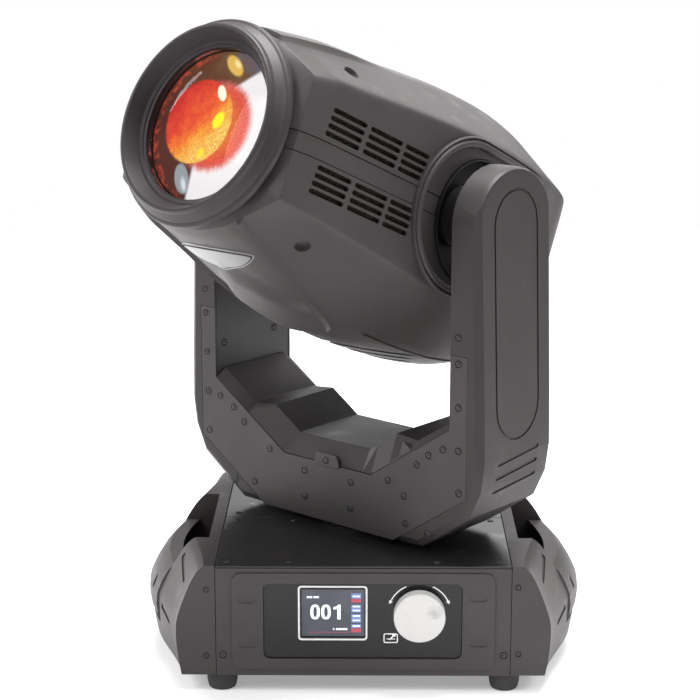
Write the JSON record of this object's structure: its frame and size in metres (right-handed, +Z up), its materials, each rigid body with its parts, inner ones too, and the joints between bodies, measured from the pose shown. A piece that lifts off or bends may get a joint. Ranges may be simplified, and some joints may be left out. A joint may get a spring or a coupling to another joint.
{
  "type": "moving head light",
  "caption": "Motorised stage light: a tilting lamp head in a panning yoke on a wide base with display, jog knob and carrying handles.",
  "frame": {"origin": "where the pan axis meets the plane of the base's underside", "axes": "+Z up along the pan axis, -Y towards the front with the display, +X to the right seen from the front"},
  "size_m": [0.4536, 0.4627, 0.6354],
  "materials": {
    "shell": "matte charcoal, finely textured",
    "gloss": "gloss black acrylic",
    "white": "white, satin",
    "screen": "dark glossy display glass",
    "knob": "satin silver-white",
    "steel": "plain steel",
    "dark_steel": "black powder coat",
    "black": "black moulded plastic",
    "rubber": "black rubber",
    "belt": "black toothed belt",
    "board": "green solder mask",
    "brass": "anodised disc with coloured filters",
    "chrome": "bright metal",
    "glass": "clear domed glass"
  },
  "bodies": {
    "base": {"base_chassis": "dark_steel", "base_top_front": "shell", "base_top_rear": "shell", "front_panel": "shell", "display_fascia": "gloss", "display_frame": "white", "display_screen": "screen", "control_board": "board", "connector_panel": "dark_steel", "power_inlet": "black", "dmx_input": "black", "dmx_output": "black", "fuse_holder": "black", "left_side_cover": "shell", "right_side_cover": "shell", "left_handle": "shell", "right_handle": "shell", "foot_front_left": "rubber", "foot_front_right": "rubber", "foot_rear_left": "rubber", "foot_rear_right": "rubber", "clamp_plate": "steel", "safety_eye": "steel", "pan_bearing": "steel", "pan_motor": "dark_steel", "pan_belt": "belt", "power_supply": "steel", "main_board": "board"},
    "yoke": {"pan_column": "steel", "yoke_frame": "dark_steel", "yoke_front_plate": "shell", "yoke_rear_plate": "shell", "crossbar_cover": "shell", "right_arm_cover": "shell", "left_arm_cover": "shell", "tilt_motor": "dark_steel", "tilt_belt": "belt"},
    "head": {"head_chassis": "shell", "head_upper_cover": "shell", "head_lower_cover": "shell", "front_bezel": "shell", "lens_ring": "black", "front_lens": "glass", "right_trunnion": "steel", "left_trunnion": "steel", "rear_cap": "black", "badge": "chrome", "optics_frame": "dark_steel", "lamp_reflector": "chrome", "lamp_module": "white"},
    "encoder_shaft": {"encoder_shaft": "steel"},
    "jog_knob": {"jog_knob": "knob"},
    "power_rocker": {"power_rocker": "black"},
    "pan_motor_pulley": {"pan_motor_pulley": "steel"},
    "tilt_motor_pulley": {"tilt_motor_pulley": "steel"},
    "zoom_carriage": {"zoom_carriage": "steel"},
    "color_wheel": {"color_wheel": "brass"},
    "gobo_wheel": {"gobo_wheel": "steel"},
    "head_fan_rotor": {"head_fan_rotor": "black"}
  },
  "joints": [
    {"name": "pan", "type": "hinge", "parent": "base", "child": "yoke", "pos_m": [0, 0, 0.1], "axis": [0, 0, 1], "range_deg": [-229.5, 310.5]},
    {"name": "tilt", "type": "hinge", "parent": "yoke", "child": "head", "pos_m": [0, 0, 0.432], "axis": [0.7604, -0.6494, 0], "range_deg": [-200.5, 69.5]},
    {"name": "knob_push", "type": "slide", "parent": "base", "child": "encoder_shaft", "axis": [0, 1, 0], "range_m": [0, 0.0005], "stiffness_N_per_m": 4000},
    {"name": "knob_turn", "type": "hinge", "parent": "encoder_shaft", "child": "jog_knob", "pos_m": [0.0532, -0.15, 0.063], "axis": [0, 1, 0], "continuous": true},
    {"name": "power_switch", "type": "hinge", "parent": "base", "child": "power_rocker", "pos_m": [-0.062, 0.147, 0.034], "axis": [0, 0, 1], "range_deg": [-12, 0]},
    {"name": "pan_motor_turn", "type": "hinge", "parent": "base", "child": "pan_motor_pulley", "pos_m": [0.084, 0.042, 0.08], "axis": [0, 0, 1], "range_deg": [-1327, 1795]},
    {"name": "tilt_motor_turn", "type": "hinge", "parent": "yoke", "child": "tilt_motor_pulley", "pos_m": [0, 0, 0.195], "axis": [0.7604, -0.6494, 0], "range_deg": [-847, 294]},
    {"name": "zoom", "type": "slide", "parent": "head", "child": "zoom_carriage", "axis": [-0.591, -0.6919, 0.4147], "range_m": [-0.06, 0.05]},
    {"name": "color_wheel_turn", "type": "hinge", "parent": "head", "child": "color_wheel", "pos_m": [-0.0113, -0.0132, 0.3938], "axis": [-0.591, -0.6919, 0.4147], "continuous": true},
    {"name": "gobo_wheel_turn", "type": "hinge", "parent": "head", "child": "gobo_wheel", "pos_m": [-0.0113, -0.0132, 0.3938], "axis": [-0.591, -0.6919, 0.4147], "continuous": true},
    {"name": "head_fan_turn", "type": "hinge", "parent": "head", "child": "head_fan_rotor", "pos_m": [0.00054, 0.00063, 0.43382], "axis": [-0.591, -0.6919, 0.4147], "continuous": true}
  ],
  "couplings": [
    {"joint": "pan_motor_turn", "follows": "pan", "ratio": 5.7778},
    {"joint": "tilt_motor_turn", "follows": "tilt", "ratio": 4.2222}
  ]
}
